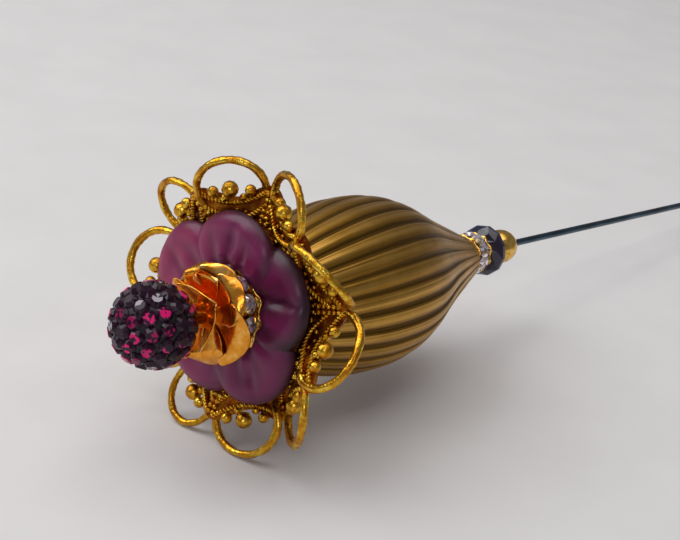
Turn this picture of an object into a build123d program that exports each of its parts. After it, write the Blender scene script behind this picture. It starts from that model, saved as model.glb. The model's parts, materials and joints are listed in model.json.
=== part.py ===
"""Decorative hat pin: a steel stem carrying a beaded and petalled head.

The pin lies at rest as it does on a table: two loops of the filigree cap and the
sharp point touch the ground plane.  +Z is up, +X runs from the head to the point,
and the origin is the middle of the bottom of the bounding box.  Every piece is
strung on the stem, so each is drawn in stem coordinates: s along the stem with
s = 0 at the centre of the pave ball, and r outwards from the stem's axis.
"""
import os
from math import asin, cos, hypot, pi, radians, sin, sqrt

from build123d import *

# ---- driving dimensions, millimetres ----
PIN_LENGTH = 203.0            # front of the ball to the sharp point
STEM_R = 0.50                 # exposed shank
STEM_SEAT_R = 0.47            # drawn slightly finer where the beads sit
STEM_STEP = 0.8               # short cone from the bead seat up to the shank
STEM_TAPER = 9.0
POINT_R = 0.06
TURN_CLEARANCE = 0.05         # radial room between the stem and a bead that turns
TURN_GAP = 0.12               # end room between beads that turn

BALL_R = 5.0                  # over the tables of the stones
BALL_CORE_R = 4.42
BALL_BORE_DEPTH = 4.2
PAVE_STONE_R = 0.86
PAVE_ROW_ANGLE = 22.5         # degrees between rows of stones

ROSE_COLLAR_R = 1.5
ROSE_FRONT_S = BALL_R + 0.1
ROSE_BACK_S = 8.7
ROSE_INNER_R = 4.6
ROSE_INNER_HUB = (7.4, 2.4)   # s and r where the cup's flat hub ends
ROSE_INNER_RIM_S = 5.6
ROSE_INNER_LOBES = (2.2, 4, 45)   # lobe radius, how many, turn in degrees
ROSE_OUTER_R = 6.2
ROSE_OUTER_HUB = (8.3, 2.8)
ROSE_OUTER_RIM_S = 6.9
ROSE_OUTER_LOBES = (2.5, 5, 0)
ROSE_BOW = 0.5                # how far a cup's wall bows back
ROSE_SHEET = 0.30

RONDELLE_PLATE = 0.35
FRONT_RONDELLE_R = 5.6
FRONT_RONDELLE_CORE_R = 3.6
FRONT_RONDELLE_WIDTH = 3.1
FRONT_STONES = 12
FRONT_STONE_R = 0.9
FRONT_STONE_HEIGHT = 1.6

FLOWER_R = 12.0
FLOWER_PETALS = 5
FLOWER_PETAL_R = 5.6
FLOWER_TURN = 170.0           # degrees from straight down to the first petal
FLOWER_HUB_R = 3.0
FLOWER_RIM_S = 12.7
FLOWER_TROUGH = (12.2, 5.2)   # s and r of the hollow round the hub
FLOWER_RIDGE = (11.2, 8.6)    # s and r of the petals' high ground
FLOWER_RIM_SHEET = 0.7

LOOPS = 10
LOOP_R = 4.1                  # centre line of the wire
LOOP_WIRE_R = 0.42
LOOP_SLOPE = 20.0             # degrees the loops lean forward
LOOP_TIP_R = 17.6
LOOP_TIP_S = 12.3
LOOP_HALF_ARC = 84.0
DISH_FLAT_R = 5.0
DISH_FLAT_S = 15.4
DISH_EDGE_R = 14.5
DISH_EDGE_S = 14.0
DISH_SHEET = 0.5
DISH_FINGER = (2.6, 2.4)      # tabs between the loops, radial length by width
DISH_LOBE_R = 2.6
GRANULES = ((0.95, 13.3, 0.0), (0.70, 13.2, 9.5), (0.70, 13.2, -9.5))   # radius, r, swing in degrees
SOLDER_GAP = 0.01
ROPE_R = 0.33
ROPE_RING_R = 11.4

BEAD_LENGTH = 43.9
BEAD_WALL = 0.55
BEAD_PROFILE = (              # r, share of the length from front to back
    (5.7, 0.0), (8.3, 0.10), (10.3, 0.25), (11.2, 0.41),
    (10.4, 0.56), (7.8, 0.71), (5.2, 0.86), (2.9, 1.0),
)

REAR_RONDELLE_WIDTH = 3.2
REAR_RONDELLE_R = 2.9
REAR_RONDELLE_CORE_R = 1.5
REAR_STONES = 9
REAR_STONE_R = 0.55
REAR_STONE_HEIGHT = 1.2

GLASS_RONDELLE_WIDTH = 3.5
GLASS_RONDELLE_R = 3.65
GLASS_RONDELLE_FACE_R = 1.9
GLASS_RONDELLE_GIRDLE = 0.9
END_BEAD_R = 2.45
END_BEAD_RIM_R = 1.2
END_BEAD_HALF_WIDTH = 2.6
CRIMP_R = 0.9
CRIMP_HALF_WIDTH = 2.2

# ---- the stack: where each piece starts and ends along the stem ----
FRONT_RONDELLE_S = (ROSE_BACK_S, ROSE_BACK_S + FRONT_RONDELLE_WIDTH)
FLOWER_FRONT_S = FRONT_RONDELLE_S[1]
BEAD_FRONT_S = DISH_FLAT_S + DISH_SHEET + TURN_GAP
BEAD_BACK_S = BEAD_FRONT_S + BEAD_LENGTH
REAR_FRONT_S = BEAD_BACK_S + TURN_GAP
REAR_RONDELLE_S = (REAR_FRONT_S, REAR_FRONT_S + REAR_RONDELLE_WIDTH)
GLASS_FRONT_S = REAR_RONDELLE_S[1] + TURN_GAP
GLASS_RONDELLE_S = (GLASS_FRONT_S, GLASS_FRONT_S + GLASS_RONDELLE_WIDTH)
END_BEAD_S = GLASS_RONDELLE_S[1] + TURN_GAP + END_BEAD_HALF_WIDTH
SEAT_START_S = BALL_CORE_R - BALL_BORE_DEPTH
SEAT_END_S = END_BEAD_S + END_BEAD_HALF_WIDTH
SHANK_START_S = SEAT_END_S + STEM_STEP
TURNING_BORE_R = STEM_SEAT_R + TURN_CLEARANCE

# ---- the resting attitude ----
POINT_S = PIN_LENGTH - BALL_R
SLOPE = radians(LOOP_SLOPE)
LOOP_STEP = 360 / LOOPS
LOWEST_LOOP = LOOP_STEP / 2   # the two lowest loops stand this far either side of straight down
LOOP_CENTRE_R = LOOP_TIP_R - LOOP_R * cos(SLOPE)
LOOP_CENTRE_S = LOOP_TIP_S + LOOP_R * sin(SLOPE)


def loop_drop(tilt):
    """Height of the stem's axis at s = 0 above the lowest point of a loop."""
    down = radians(LOWEST_LOOP)
    outward = cos(SLOPE) * cos(tilt) * cos(down) - sin(SLOPE) * sin(tilt)
    sideways = cos(tilt) * sin(down)
    centre_drop = LOOP_CENTRE_S * sin(tilt) + LOOP_CENTRE_R * cos(tilt) * cos(down)
    return centre_drop + LOOP_R * hypot(outward, sideways) + LOOP_WIRE_R


TILT = 0.0
for _ in range(12):
    TILT = asin((loop_drop(TILT) - POINT_R) / POINT_S)

HEAD_HEIGHT = loop_drop(TILT)
HEAD_X = (BALL_R - POINT_S * cos(TILT)) / 2

ALONG = Vector(cos(TILT), 0, -sin(TILT))
DOWN = Vector(-sin(TILT), 0, -cos(TILT))
BALL_CENTRE = Vector(HEAD_X, 0, HEAD_HEIGHT)
STEM = Plane(origin=BALL_CENTRE, x_dir=DOWN, z_dir=ALONG)
SECTION = Plane(origin=BALL_CENTRE, x_dir=ALONG, z_dir=ALONG.cross(Vector(0, 1, 0)))
STEM_AXIS = Axis(BALL_CENTRE, ALONG)


def outward(angle):
    """Unit vector away from the stem, angle in degrees from straight down."""
    return DOWN * cos(radians(angle)) + Vector(0, 1, 0) * sin(radians(angle))


def on_stem(s, r, angle):
    """Point at s along the stem and r away from it."""
    return BALL_CENTRE + ALONG * s + outward(angle) * r


def turned(outline):
    """Solid turned about the stem from a closed outline of (s, r) corners."""
    with BuildPart() as piece:
        with BuildSketch(SECTION):
            with BuildLine():
                Polyline(*outline, close=True)
            make_face()
        revolve(axis=STEM_AXIS)
    return piece.part


def cupped_sheet(hub, rim):
    """Thin cup round the rose's collar: flat hub, then a bowed wall out to the rim."""
    hub_s, hub_r = hub
    rim_s, rim_r = rim
    sheet, bore_r = ROSE_SHEET, ROSE_COLLAR_R
    middle = ((hub_s + rim_s) / 2 + ROSE_BOW, (hub_r + rim_r) / 2)
    with BuildPart() as piece:
        with BuildSketch(SECTION):
            with BuildLine():
                Line((hub_s, bore_r), (hub_s, hub_r))
                ThreePointArc((hub_s, hub_r), middle, (rim_s, rim_r))
                Line((rim_s, rim_r), (rim_s + sheet, rim_r))
                ThreePointArc((rim_s + sheet, rim_r), (middle[0] + sheet, middle[1]), (hub_s + sheet, hub_r))
                Line((hub_s + sheet, hub_r), (hub_s + sheet, bore_r))
                Line((hub_s + sheet, bore_r), (hub_s, bore_r))
            make_face()
        revolve(axis=STEM_AXIS)
    return piece.part


def lobed(solid, rim_r, lobe_r, lobes, turn):
    """Trim a turned cup to a ring of round lobes that meet in the middle."""
    with BuildPart() as piece:
        add(solid)
        with BuildSketch(STEM.offset(-BALL_R)):
            Circle(rim_r - lobe_r)
            with PolarLocations(rim_r - lobe_r, lobes, start_angle=turn):
                Circle(lobe_r)
        extrude(amount=5 * BALL_R, mode=Mode.INTERSECT)
    return piece.part


def rondelle_frame(span, rim_r, core_r, bore_r):
    """Spool of two thin plates on a core, turned in one piece."""
    front, back = span
    return turned([
        (front, bore_r),
        (front, rim_r),
        (front + RONDELLE_PLATE, rim_r),
        (front + RONDELLE_PLATE, core_r),
        (back - RONDELLE_PLATE, core_r),
        (back - RONDELLE_PLATE, rim_r),
        (back, rim_r),
        (back, bore_r),
    ])


def radial_seats(s, r, count):
    """Planes round the stem that face outwards, one for each stone of a rondelle."""
    return [
        Plane(origin=on_stem(s, r, k * 360 / count), x_dir=ALONG, z_dir=outward(k * 360 / count))
        for k in range(count)
    ]


def finish(builder, name):
    builder.part.label = name
    export_step(builder.part, f"parts/{name}.step")


os.makedirs("parts", exist_ok=True)

# ---- steel stem: bead seat, shank, sharp point ----
with BuildPart() as pin_stem:
    with BuildSketch(SECTION):
        with BuildLine():
            Polyline(
                (SEAT_START_S, 0),
                (SEAT_START_S, STEM_SEAT_R),
                (SEAT_END_S, STEM_SEAT_R),
                (SHANK_START_S, STEM_R),
                (POINT_S - STEM_TAPER, STEM_R),
                (POINT_S - POINT_R, POINT_R),
            )
            RadiusArc((POINT_S - POINT_R, POINT_R), (POINT_S, 0), POINT_R)
            Line((POINT_S, 0), (SEAT_START_S, 0))
        make_face()
    revolve(axis=STEM_AXIS)
finish(pin_stem, "pin_stem")

# ---- pave ball: resin core and its set stones ----
with BuildPart() as pave_core:
    with BuildSketch(SECTION):
        with BuildLine():
            Line((-BALL_CORE_R, 0), (BALL_CORE_R, 0))
            ThreePointArc((BALL_CORE_R, 0), (0, BALL_CORE_R), (-BALL_CORE_R, 0))
        make_face()
    revolve(axis=STEM_AXIS)
    with BuildSketch(STEM.offset(SEAT_START_S)):
        Circle(STEM_SEAT_R)
    extrude(amount=BALL_R, mode=Mode.SUBTRACT)
finish(pave_core, "pave_core")


def pave_seats():
    """Planes on the core that face outwards: a front stone, then rows to the stem hole."""
    seats = [Plane(origin=on_stem(-BALL_CORE_R, 0, 0), x_dir=DOWN, z_dir=-ALONG)]
    rows = round(180 / PAVE_ROW_ANGLE)
    for row in range(1, rows):
        lean = radians(row * PAVE_ROW_ANGLE)
        pitch = 2 * PAVE_STONE_R * BALL_R / BALL_CORE_R
        count = int(2 * pi * BALL_R * sin(lean) / pitch)
        for k in range(count):
            angle = (k + row % 2 / 2) * 360 / count
            out = outward(angle) * sin(lean) - ALONG * cos(lean)
            along_row = out.cross(ALONG)
            seats.append(Plane(origin=BALL_CENTRE + out * BALL_CORE_R, x_dir=along_row, z_dir=out))
    return seats


with BuildPart() as pave_crystals:
    with BuildSketch(*pave_seats()):
        RegularPolygon(radius=PAVE_STONE_R, side_count=8)
    extrude(amount=BALL_R - BALL_CORE_R, taper=22)
finish(pave_crystals, "pave_crystals")

# ---- gold rose: a collar with two whorls of sheet petals ----
with BuildPart() as rose_collar:
    add(turned([
        (ROSE_FRONT_S, STEM_SEAT_R),
        (ROSE_FRONT_S, ROSE_COLLAR_R),
        (ROSE_BACK_S, ROSE_COLLAR_R),
        (ROSE_BACK_S, STEM_SEAT_R),
    ]))
finish(rose_collar, "rose_collar")

with BuildPart() as rose_inner_petals:
    inner_rim = (ROSE_INNER_RIM_S, ROSE_INNER_R)
    add(lobed(cupped_sheet(ROSE_INNER_HUB, inner_rim), ROSE_INNER_R, *ROSE_INNER_LOBES))
finish(rose_inner_petals, "rose_inner_petals")

with BuildPart() as rose_outer_petals:
    outer_rim = (ROSE_OUTER_RIM_S, ROSE_OUTER_R)
    add(lobed(cupped_sheet(ROSE_OUTER_HUB, outer_rim), ROSE_OUTER_R, *ROSE_OUTER_LOBES))
finish(rose_outer_petals, "rose_outer_petals")

# ---- front rondelle: brass frame and clear stones ----
with BuildPart() as front_rondelle_frame:
    add(rondelle_frame(FRONT_RONDELLE_S, FRONT_RONDELLE_R, FRONT_RONDELLE_CORE_R, STEM_SEAT_R))
finish(front_rondelle_frame, "front_rondelle_frame")

with BuildPart() as front_rondelle_crystals:
    with BuildSketch(*radial_seats(sum(FRONT_RONDELLE_S) / 2, FRONT_RONDELLE_CORE_R + 0.05, FRONT_STONES)):
        RegularPolygon(radius=FRONT_STONE_R, side_count=8)
    extrude(amount=FRONT_STONE_HEIGHT, taper=-6)
finish(front_rondelle_crystals, "front_rondelle_crystals")

# ---- moulded glass flower ----
with BuildPart() as glass_flower:
    rim_back_s = FLOWER_RIM_S + FLOWER_RIM_SHEET
    with BuildSketch(SECTION):
        with BuildLine():
            Line((FLOWER_FRONT_S, STEM_SEAT_R), (FLOWER_FRONT_S, FLOWER_HUB_R))
            Spline((FLOWER_FRONT_S, FLOWER_HUB_R), FLOWER_TROUGH, FLOWER_RIDGE, (FLOWER_RIM_S, FLOWER_R))
            Line((FLOWER_RIM_S, FLOWER_R), (rim_back_s, FLOWER_R))
            Line((rim_back_s, FLOWER_R), (DISH_FLAT_S, FLOWER_HUB_R))
            Line((DISH_FLAT_S, FLOWER_HUB_R), (DISH_FLAT_S, STEM_SEAT_R))
            Line((DISH_FLAT_S, STEM_SEAT_R), (FLOWER_FRONT_S, STEM_SEAT_R))
        make_face()
    revolve(axis=STEM_AXIS)
    with BuildSketch(STEM.offset(ROSE_BACK_S)):
        Circle(FLOWER_R - FLOWER_PETAL_R)
        with PolarLocations(FLOWER_R - FLOWER_PETAL_R, FLOWER_PETALS, start_angle=FLOWER_TURN):
            Circle(FLOWER_PETAL_R)
    extrude(amount=2 * BALL_R, mode=Mode.INTERSECT)
finish(glass_flower, "glass_flower")

# ---- filigree cap: dish, loops, granules and rope wire ----
DISH_SLOPE = (DISH_FLAT_S - DISH_EDGE_S) / (DISH_EDGE_R - DISH_FLAT_R)
with BuildPart() as filigree_dish:
    add(turned([
        (DISH_FLAT_S, STEM_SEAT_R),
        (DISH_FLAT_S, DISH_FLAT_R),
        (DISH_EDGE_S, DISH_EDGE_R),
        (DISH_EDGE_S + DISH_SHEET, DISH_EDGE_R),
        (DISH_FLAT_S + DISH_SHEET, DISH_FLAT_R),
        (DISH_FLAT_S + DISH_SHEET, STEM_SEAT_R),
    ]))
    with BuildSketch(STEM.offset(LOOP_TIP_S)):
        Circle(DISH_EDGE_R - DISH_FINGER[0] / 2)
        with PolarLocations(DISH_EDGE_R - DISH_FINGER[0] / 2, LOOPS):
            RectangleRounded(*DISH_FINGER, DISH_FINGER[1] / 4)
        with PolarLocations(DISH_EDGE_R - DISH_LOBE_R - ROPE_R, LOOPS, start_angle=LOWEST_LOOP):
            Circle(DISH_LOBE_R)
    extrude(amount=5, mode=Mode.INTERSECT)
finish(filigree_dish, "filigree_dish")


def loop_plane(angle):
    """Plane of one loop, x running out to its tip."""
    out = outward(angle) * cos(SLOPE) - ALONG * sin(SLOPE)
    tangent = ALONG.cross(outward(angle))
    return Plane(origin=on_stem(LOOP_CENTRE_S, LOOP_CENTRE_R, angle), x_dir=out, z_dir=out.cross(tangent))


with BuildPart() as filigree_loops:
    for k in range(LOOPS):
        plane = loop_plane(LOWEST_LOOP + k * LOOP_STEP)
        with BuildLine(plane) as wire:
            CenterArc((0, 0), LOOP_R, -LOOP_HALF_ARC, 2 * LOOP_HALF_ARC)
        with BuildSketch(Plane(origin=wire.line @ 0, z_dir=wire.line % 0)):
            Circle(LOOP_WIRE_R)
        sweep(path=wire.line)
finish(filigree_loops, "filigree_loops")


def dish_seat(r, height, angle):
    """Point at a height off the sloping front of the dish."""
    lean = 1 / sqrt(1 + DISH_SLOPE ** 2)
    s = DISH_FLAT_S - (r - DISH_FLAT_R) * DISH_SLOPE
    return on_stem(s - height * lean, r - height * lean * DISH_SLOPE, angle)


with BuildPart() as filigree_granules:
    for k in range(LOOPS):
        for radius, r, swing in GRANULES:
            with Locations(dish_seat(r, radius + SOLDER_GAP, LOWEST_LOOP + k * LOOP_STEP + swing)):
                Sphere(radius)
finish(filigree_granules, "filigree_granules")

with BuildPart() as filigree_rope:
    rope_s = DISH_FLAT_S - (ROPE_RING_R - DISH_FLAT_R) * DISH_SLOPE - ROPE_R * hypot(1, DISH_SLOPE)
    with BuildSketch(SECTION):
        with Locations((rope_s - SOLDER_GAP, ROPE_RING_R)):
            Circle(ROPE_R)
    revolve(axis=STEM_AXIS)
finish(filigree_rope, "filigree_rope")

# ---- hollow fluted bead ----
def bead_profile(inset):
    """Outline of the bead from front to back, moved inwards by inset."""
    length = BEAD_BACK_S - BEAD_FRONT_S - 2 * inset
    return [(BEAD_FRONT_S + inset + length * place, r - inset) for r, place in BEAD_PROFILE]


def bead_solid(inset):
    """Solid inside the bead's outline, open along the stem."""
    outline = bead_profile(inset)
    front, back = outline[0], outline[-1]
    with BuildPart() as piece:
        with BuildSketch(SECTION):
            with BuildLine():
                Spline(*outline)
                Line(back, (back[0], TURNING_BORE_R))
                Line((back[0], TURNING_BORE_R), (front[0], TURNING_BORE_R))
                Line((front[0], TURNING_BORE_R), front)
            make_face()
        revolve(axis=STEM_AXIS)
    return piece.part


with BuildPart() as ribbed_bead:
    add(bead_solid(0))
    add(bead_solid(BEAD_WALL), mode=Mode.SUBTRACT)
finish(ribbed_bead, "ribbed_bead")

# ---- rear rondelle ----
with BuildPart() as rear_rondelle_frame:
    add(rondelle_frame(REAR_RONDELLE_S, REAR_RONDELLE_R, REAR_RONDELLE_CORE_R, TURNING_BORE_R))
finish(rear_rondelle_frame, "rear_rondelle_frame")

with BuildPart() as rear_rondelle_crystals:
    with BuildSketch(*radial_seats(sum(REAR_RONDELLE_S) / 2, REAR_RONDELLE_CORE_R + 0.1, REAR_STONES)):
        RegularPolygon(radius=REAR_STONE_R, side_count=8)
    extrude(amount=REAR_STONE_HEIGHT, taper=-10)
finish(rear_rondelle_crystals, "rear_rondelle_crystals")

# ---- dark glass rondelle ----
with BuildPart() as glass_rondelle:
    front, back = GLASS_RONDELLE_S
    middle = (front + back) / 2
    add(turned([
        (front, TURNING_BORE_R),
        (front, GLASS_RONDELLE_FACE_R),
        (middle - GLASS_RONDELLE_GIRDLE / 2, GLASS_RONDELLE_R),
        (middle + GLASS_RONDELLE_GIRDLE / 2, GLASS_RONDELLE_R),
        (back, GLASS_RONDELLE_FACE_R),
        (back, TURNING_BORE_R),
    ]))
finish(glass_rondelle, "glass_rondelle")

# ---- end bead and the crimp inside it ----
with BuildPart() as end_bead:
    front = END_BEAD_S - END_BEAD_HALF_WIDTH
    back = END_BEAD_S + END_BEAD_HALF_WIDTH
    with BuildSketch(SECTION):
        with BuildLine():
            Line((front, CRIMP_R), (front, END_BEAD_RIM_R))
            Spline((front, END_BEAD_RIM_R), (END_BEAD_S, END_BEAD_R), (back, END_BEAD_RIM_R))
            Line((back, END_BEAD_RIM_R), (back, CRIMP_R))
            Line((back, CRIMP_R), (front, CRIMP_R))
        make_face()
    revolve(axis=STEM_AXIS)
finish(end_bead, "end_bead")

with BuildPart() as crimp_tube:
    add(turned([
        (END_BEAD_S - CRIMP_HALF_WIDTH, STEM_SEAT_R),
        (END_BEAD_S - CRIMP_HALF_WIDTH, CRIMP_R),
        (END_BEAD_S + CRIMP_HALF_WIDTH, CRIMP_R),
        (END_BEAD_S + CRIMP_HALF_WIDTH, STEM_SEAT_R),
    ]))
finish(crimp_tube, "crimp_tube")
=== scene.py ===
"""Decorative hat pin: its finished pieces, built round the pin's CAD frame.

Every piece is strung on the stem, so each is drawn in stem millimetres: x points down
from the stem, y to its side and z along it to the point, and z is 0 at the middle of
the pave ball.  STEM turns that into the frame's metres.  Angles round the stem start
from x and turn towards y.
"""
import json
from math import cos, exp, hypot, pi, radians, sin, tau

import bmesh
import bpy
from bpy.props import FloatProperty, FloatVectorProperty, IntProperty, PointerProperty
from bpy.types import Operator, Panel, PropertyGroup
from mathutils import Matrix, Vector, noise


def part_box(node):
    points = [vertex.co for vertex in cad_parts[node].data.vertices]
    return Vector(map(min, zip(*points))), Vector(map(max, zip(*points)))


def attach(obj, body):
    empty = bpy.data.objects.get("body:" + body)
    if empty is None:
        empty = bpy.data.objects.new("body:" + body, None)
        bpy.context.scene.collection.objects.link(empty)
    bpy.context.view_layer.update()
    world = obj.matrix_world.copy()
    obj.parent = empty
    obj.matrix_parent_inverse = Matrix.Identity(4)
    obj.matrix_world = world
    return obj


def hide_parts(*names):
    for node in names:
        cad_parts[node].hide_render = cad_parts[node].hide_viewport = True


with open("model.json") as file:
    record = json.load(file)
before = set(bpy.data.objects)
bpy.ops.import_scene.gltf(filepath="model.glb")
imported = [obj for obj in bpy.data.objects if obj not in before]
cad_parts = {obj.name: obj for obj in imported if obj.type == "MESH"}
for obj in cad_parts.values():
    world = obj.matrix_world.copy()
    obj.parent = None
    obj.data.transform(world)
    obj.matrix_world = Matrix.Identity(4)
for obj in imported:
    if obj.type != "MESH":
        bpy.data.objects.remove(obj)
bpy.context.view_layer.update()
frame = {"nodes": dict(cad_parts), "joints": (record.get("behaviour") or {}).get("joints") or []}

bl_info = {
    "name": "Decorative hat pin",
    "version": (1, 0, 0),
    "blender": (4, 5, 0),
    "location": "View3D > Sidebar > Hat pin",
    "description": "Builds the finished pieces of a beaded hat pin round its CAD frame",
    "category": "Add Mesh",
}

# ---- the stem's own space ----
MM = 0.001
ALONG = Vector(next(j["axis"] for j in frame["joints"] if j["name"] == "ribbed_bead_turn"))
DOWN = Vector((0, 1, 0)).cross(ALONG)
BALL_CENTRE = sum(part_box("pave_core"), Vector()) / 2
STEM_TURN = Matrix((DOWN, (0, 1, 0), ALONG)).transposed()
STEM = Matrix.Translation(BALL_CENTRE) @ STEM_TURN.to_4x4() @ Matrix.Scale(MM, 4)


def in_stem(node):
    """Points of a CAD node, in stem millimetres."""
    back = STEM.inverted()
    return [back @ v.co for v in frame["nodes"][node].data.vertices]


def span(node):
    """(front, back, greatest radius) of a CAD node, in stem millimetres."""
    points = in_stem(node)
    along = [p.z for p in points]
    return min(along), max(along), max(hypot(p.x, p.y) for p in points)


def polar(r, angle, s):
    """Stem point from its radius, angle in degrees and place along the stem."""
    return Vector((r * cos(radians(angle)), r * sin(radians(angle)), s))


def smooth(low, high, value):
    """0 below low, 1 above high and an eased rise between."""
    share = min(1.0, max(0.0, (value - low) / (high - low)))
    return share * share * (3 - 2 * share)


# ---- sizes and colours a user would change ----
def srgb(code):
    """Linear colour from an sRGB hex code."""
    parts = [int(code[k:k + 2], 16) / 255 for k in (1, 3, 5)]
    return tuple(c / 12.92 if c <= 0.04045 else ((c + 0.055) / 1.055) ** 2.4 for c in parts)


def length(name, description, millimetres):
    """A size, held in metres like every Blender length."""
    return FloatProperty(name=name, description=description, default=millimetres * MM, min=0, unit="LENGTH")


def turn(name, description, degrees):
    return FloatProperty(name=name, description=description, default=radians(degrees), subtype="ANGLE")


def share(name, description, default):
    return FloatProperty(name=name, description=description, default=default, min=0, max=1, subtype="FACTOR")


def count(name, description, default):
    return IntProperty(name=name, description=description, default=default, min=1)


def colour(name, description, code):
    return FloatVectorProperty(
        name=name, description=description, default=srgb(code), min=0, max=1, subtype="COLOR")


class HatPinPave(PropertyGroup):
    stone: length("Stone radius", "Radius of a stone's girdle", 0.97)
    table: share("Table", "Width of the flat top as a share of the stone", 0.62)
    row_angle: turn("Row angle", "Angle at the ball's centre between rows of stones", 22.5)
    # mirrors, dark, wine, flash and glint are painted light: dark and wine are painted shade and dim light on
    # the facets, flash is a painted pink highlight of the foil that also glows, glint a painted grey
    # reflection of the room on a few tables
    mirrors: share("Mirrors", "Share of the stones whose tables mirror the room", 0.08)
    dark: colour("Dark", "Facets that look into the foil's shadow", "#12060f")
    wine: colour("Wine", "Facets that let a little of the foil through", "#34102c")
    flash: colour("Flash", "Facets that throw the foil's light back", "#b8145c")
    glint: colour("Glint", "Facets that mirror the room", "#a39aa4")


class HatPinRose(PropertyGroup):
    sheet: length("Sheet", "Thickness of the petals' sheet", 0.24)
    gold: colour("Gold", "Warm plate of the rose", "#e5a03c")


class HatPinFlower(PropertyGroup):
    petal_length: length("Petal length", "From the petal's middle to its tip", 5.1)
    petal_width: length("Petal width", "From the petal's middle to its side", 6.1)
    pillow: length("Pillow", "How far a petal stands above its own edge", 2.0)
    # glass and blush show where the petals are painted lit; crease is painted shade between the petals, in
    # the throat, on the back and in the bore
    glass: colour("Glass", "Colour of the frosted glass where it is thick", "#741b4e")
    blush: colour("Blush", "Pinker glass on the flower's far side", "#a83a5c")
    crease: colour("Crease", "Glass between the petals", "#2a0a1e")


class HatPinFiligree(PropertyGroup):
    loops: count("Loops", "Wire loops round the cap", 10)
    wire: length("Wire", "Radius of the loop wire", 0.47)
    loop: length("Loop", "Radius of a loop's centre line", 4.1)
    notch: length("Notch", "Length of one hammered notch along the wire", 1.0)
    grain: length("Grain", "Radius of the small solder grains", 0.33)
    # gilt is the gilding's own colour; the patina colour is partly red-brown tarnish, partly painted
    # reflection of the purple flower and orange rose
    gilt: colour("Gilt", "Bright gilding on the raised work", "#cf9828")
    patina_and_reflection: colour("Patina", "Red-brown lacquer in the hollows", "#7a3410")


class HatPinBead(PropertyGroup):
    flutes: count("Flutes", "Flutes round the bead", 27)
    depth: length("Depth", "Depth of a groove at the widest ring", 0.42)
    twist: turn("Twist", "How far a flute turns from front to back", -15)
    sag: length("Sag", "How far the bead hangs down on the stem in its wide bore", 0.55)
    # brass is the crests' own colour; the groove colour is painted shade laid into the grooves
    brass: colour("Brass", "Polished crests", "#a0772b")
    groove: colour("Groove", "Darkened brass in the grooves", "#664a1a")


class HatPinRondelles(PropertyGroup):
    front_stones: count("Front stones", "Stones round the front rondelle", 12)
    rear_stones: count("Rear stones", "Stones round the rear rondelle", 9)
    gold: colour("Gold", "Bright plate of frames and end bead", "#e9b955")
    facets: count("Facets", "Facets round the dark glass rondelle", 12)


class HatPinStage(PropertyGroup):
    lens: FloatProperty(name="Lens", description="Focal length in millimetres", default=75.55, unit="CAMERA")
    heading: turn("Heading", "Camera direction, turned from +X towards +Y", 36.932)
    pitch: turn("Pitch", "How far the camera looks down", 23.011)
    roll: turn("Roll", "Camera turned about its own line of sight", 8.484)
    distance: FloatVectorProperty(
        name="Distance", description="Camera from the middle of the pave ball",
        default=(-0.09925, -0.09852, 0.06846), subtype="TRANSLATION", unit="LENGTH",
    )
    table: colour("Table", "Pale table top", "#e0dfdf")


# ---- making meshes ----
def outward_facing(mesh, smooth_faces=True):
    """The mesh with its faces turned outwards and shaded smooth or flat."""
    work = bmesh.new()
    work.from_mesh(mesh)
    bmesh.ops.recalc_face_normals(work, faces=work.faces)
    for face in work.faces:
        face.smooth = smooth_faces
    work.to_mesh(mesh)
    work.free()
    return mesh


class Shape:
    """Points and faces of one mesh, gathered part by part."""

    def __init__(self):
        self.points = []
        self.faces = []
        self.marks = {}

    def lattice(self, rows, columns, point, wrap_rows=False, wrap_columns=False, cap=False):
        """Quads through point(row, column), closed either way where it wraps."""
        start = len(self.points)
        self.points += [Vector(point(i, j)) for i in range(rows) for j in range(columns)]
        for i in range(rows if wrap_rows else rows - 1):
            for j in range(columns if wrap_columns else columns - 1):
                across, on = (j + 1) % columns, (i + 1) % rows
                corners = ((i, j), (i, across), (on, across), (on, j))
                self.faces.append([start + row * columns + column for row, column in corners])
        if cap:
            last = start + (rows - 1) * columns
            self.faces.append(list(range(start, start + columns)))
            self.faces.append(list(range(last, last + columns)))
        return self

    def mark(self, name, values):
        """A number at each point, for a node tree to read."""
        self.marks[name] = values

    def mesh(self, name, sharp=None):
        """Outward-facing mesh; edges over sharp radians stay crisp, and 0 leaves every face flat."""
        made = bpy.data.meshes.new(name)
        made.from_pydata(self.points, [], self.faces)
        for mark, values in self.marks.items():
            kind = "FLOAT_VECTOR" if isinstance(values[0], Vector) else "FLOAT"
            layer = made.attributes.new(mark, kind, "POINT")
            for item, value in zip(layer.data, values):
                setattr(item, "vector" if kind == "FLOAT_VECTOR" else "value", value)
        outward_facing(made, sharp != 0)
        if sharp:
            made.set_sharp_from_angle(angle=sharp)
        return made


def tube(path, radius, around=12):
    """Closed round wire along a path; radius(share of path, angle) gives its skin."""
    side = Vector((0, 0, 1))
    frames = []
    for k, here in enumerate(path):
        ahead = (path[min(k + 1, len(path) - 1)] - path[max(k - 1, 0)]).normalized()
        side = (side - ahead * side.dot(ahead)).normalized()
        frames.append((here, side, ahead.cross(side)))

    def skin(row, column):
        here, up, across = frames[row]
        angle = tau * column / around
        return here + (up * cos(angle) + across * sin(angle)) * radius(row / (len(path) - 1), angle)

    return Shape().lattice(len(path), around, skin, wrap_columns=True, cap=True)


def baked(mesh, *finishes):
    """The mesh with modifiers applied; each finish is (kind, settings)."""
    holder = bpy.data.objects.new(mesh.name, mesh)
    bpy.context.collection.objects.link(holder)
    for kind, settings in finishes:
        modifier = holder.modifiers.new(kind, kind)
        for key, value in settings.items():
            setattr(modifier, key, value)
    return flattened(holder)


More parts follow.
